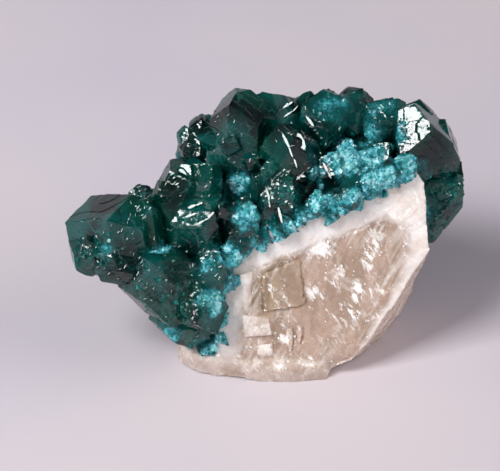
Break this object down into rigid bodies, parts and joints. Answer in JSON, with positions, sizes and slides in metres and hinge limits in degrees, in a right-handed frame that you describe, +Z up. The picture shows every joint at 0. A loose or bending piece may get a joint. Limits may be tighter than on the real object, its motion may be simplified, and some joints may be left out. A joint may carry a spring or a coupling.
{
  "type": "dioptase crystal specimen",
  "caption": "Cluster of stout green dioptase prisms with three-faced ends, grown over one side of a pale cleaved calcite block that stands on its flat base.",
  "frame": {"origin": "on the table, under the centre of the specimen's bounding box", "axes": "+Z up from the table, -Y out of the calcite's big front face, +X to the right as that face is looked at"},
  "size_m": [0.041, 0.0264, 0.0258],
  "materials": {
    "calcite": "milky calcite, satin cleavage faces with a whiter rim",
    "dioptase": "deep green clear crystal with a vitreous lustre, crushed turquoise where it is thin"
  },
  "bodies": {
    "root": {"calcite_matrix": "calcite", "dioptase_crystals": "dioptase"}
  },
  "joints": []
}
